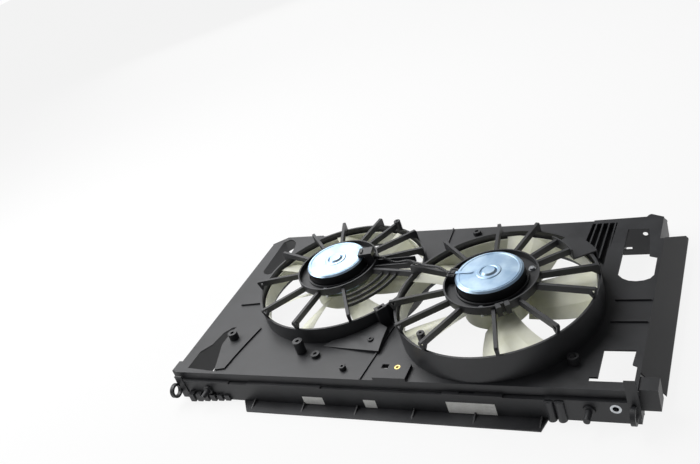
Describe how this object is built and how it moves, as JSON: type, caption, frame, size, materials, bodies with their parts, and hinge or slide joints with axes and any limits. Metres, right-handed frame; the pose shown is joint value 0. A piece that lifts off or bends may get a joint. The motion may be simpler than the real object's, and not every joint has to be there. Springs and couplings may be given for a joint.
{
  "type": "radiator cooling fan",
  "caption": "Plastic shroud plate that carries ring fans in round ducts, each on its own electric motor, and draws air through a car's radiator.",
  "frame": {"origin": "centre of the bounding box, at the edges it lies on", "axes": "+X along the shroud to the large fan's side, +Y from the upper beam to the lower skirt, +Z from the radiator to the engine along the fans' axes"},
  "size_m": [0.878, 0.512, 0.145],
  "materials": {
    "shroud_plastic": "moulded glass-filled polyamide, satin",
    "fan_plastic": "natural unfilled polyamide, satin",
    "zinc_plated_steel": "deep-drawn and zinc plated",
    "bright_steel": "turned",
    "core_steel": "stacked laminations",
    "enamelled_copper": "enamelled wire",
    "commutator_copper": "turned",
    "ferrite": "sintered",
    "carbon": "pressed carbon",
    "holder_plastic": "moulded",
    "plug_plastic": "moulded",
    "brass": "turned, knurled",
    "lead_sheath": "ribbed sleeve"
  },
  "bodies": {
    "shroud": {"beam_lip": "shroud_plastic", "large_brush_holder": "holder_plastic", "large_fan_duct": "shroud_plastic", "large_fan_panel": "shroud_plastic", "large_front_bearing": "bright_steel", "large_motor_brushes": "carbon", "large_motor_can": "zinc_plated_steel", "large_motor_end_plate": "zinc_plated_steel", "large_motor_magnets": "ferrite", "large_motor_plug": "plug_plastic", "large_motor_screws": "bright_steel", "large_motor_stay": "shroud_plastic", "large_rear_bearing": "bright_steel", "left_air_guide": "shroud_plastic", "left_guide_block": "shroud_plastic", "left_lower_bracket": "shroud_plastic", "left_side_wall": "shroud_plastic", "left_upper_bracket": "shroud_plastic", "locating_pins": "shroud_plastic", "lower_skirt": "shroud_plastic", "motor_lead": "lead_sheath", "mount_bush": "bright_steel", "right_air_guide": "shroud_plastic", "right_guide_block": "shroud_plastic", "right_lower_bracket": "shroud_plastic", "right_side_wall": "shroud_plastic", "right_upper_bracket": "shroud_plastic", "small_brush_holder": "holder_plastic", "small_fan_duct": "shroud_plastic", "small_fan_panel": "shroud_plastic", "small_front_bearing": "bright_steel", "small_motor_brushes": "carbon", "small_motor_can": "zinc_plated_steel", "small_motor_end_plate": "zinc_plated_steel", "small_motor_magnets": "ferrite", "small_motor_plug": "plug_plastic", "small_motor_screws": "bright_steel", "small_motor_stay": "shroud_plastic", "small_rear_bearing": "bright_steel", "threaded_insert": "brass", "upper_beam": "shroud_plastic"},
    "large_rotor": {"large_fan": "fan_plastic", "large_motor_shaft": "bright_steel", "large_armature_core": "core_steel", "large_armature_winding": "enamelled_copper", "large_commutator": "commutator_copper", "large_fan_nut": "bright_steel"},
    "small_rotor": {"small_fan": "fan_plastic", "small_motor_shaft": "bright_steel", "small_armature_core": "core_steel", "small_armature_winding": "enamelled_copper", "small_commutator": "commutator_copper", "small_fan_nut": "bright_steel"}
  },
  "joints": [
    {"name": "large_fan_spin", "type": "hinge", "parent": "shroud", "child": "large_rotor", "pos_m": [0.172, -0.052, 0.1], "axis": [0, 0, 1], "continuous": true},
    {"name": "small_fan_spin", "type": "hinge", "parent": "shroud", "child": "small_rotor", "pos_m": [-0.155, 0.026, 0.082], "axis": [0, 0, 1], "continuous": true}
  ]
}
